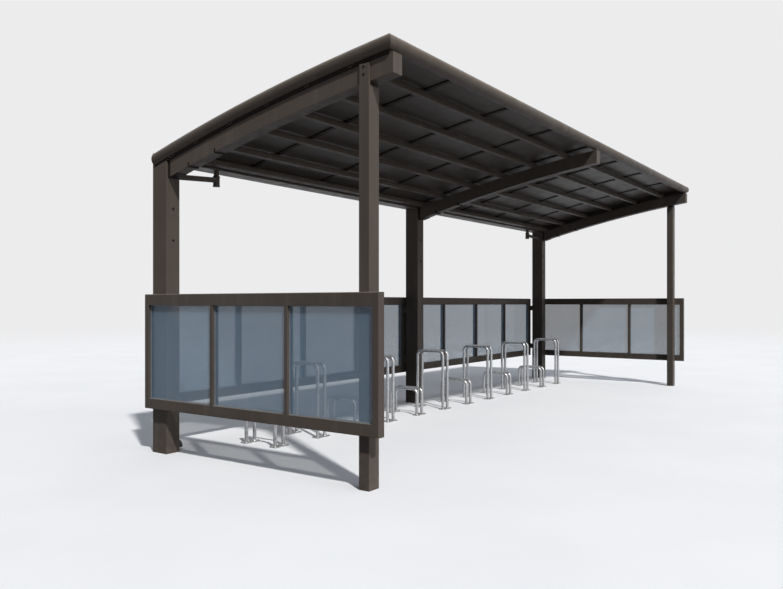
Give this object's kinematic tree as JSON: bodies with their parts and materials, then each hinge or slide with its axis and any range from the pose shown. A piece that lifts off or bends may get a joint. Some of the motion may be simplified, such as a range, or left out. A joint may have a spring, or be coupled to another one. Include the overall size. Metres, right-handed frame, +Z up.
{
  "type": "bike shelter",
  "caption": "Free-standing framed bike shelter with a gently arched single-slope glazed roof, glazed end and rear panels and tube racks, open at the front.",
  "frame": {"origin": "centre of the shelter's footprint at floor level", "axes": "+X along the length, to the right for someone looking in from the open front; +Y to the rear; +Z up"},
  "size_m": [5.998, 1.976, 2.3007],
  "materials": {
    "bronze_coat": "satin",
    "dark_parts": "satin",
    "pane": "gloss",
    "roof_sheet": "gloss",
    "galvanised": "galvanised",
    "black_plastic": "matt"
  },
  "bodies": {
    "root": {"beam_brackets": "dark_parts", "beam_caps": "bronze_coat", "beam_left": "bronze_coat", "beam_middle": "bronze_coat", "beam_right": "bronze_coat", "drain_elbow_left": "bronze_coat", "drain_elbow_right": "bronze_coat", "drain_spouts": "black_plastic", "end_panel_frame_left": "bronze_coat", "end_panel_frame_right": "bronze_coat", "end_panes_left": "pane", "end_panes_right": "pane", "front_fascia": "bronze_coat", "front_post_left": "bronze_coat", "front_post_right": "bronze_coat", "gable_frame_left": "bronze_coat", "gable_frame_right": "bronze_coat", "glazing_bars": "dark_parts", "gutter_sleeves": "dark_parts", "post_saddles": "dark_parts", "purlin_1": "bronze_coat", "purlin_2": "bronze_coat", "purlin_3": "bronze_coat", "purlin_4": "bronze_coat", "purlin_5": "bronze_coat", "rack_bases": "galvanised", "rack_high_left": "galvanised", "rack_high_right": "galvanised", "rack_low_left": "galvanised", "rack_low_right": "galvanised", "rear_gutter": "bronze_coat", "rear_panel_frame_left": "bronze_coat", "rear_panel_frame_right": "bronze_coat", "rear_panes_left": "pane", "rear_panes_right": "pane", "rear_post_left": "bronze_coat", "rear_post_middle": "bronze_coat", "rear_post_right": "bronze_coat", "rear_rail": "bronze_coat", "roof_panels_left": "roof_sheet", "roof_panels_right": "roof_sheet"}
  },
  "joints": []
}
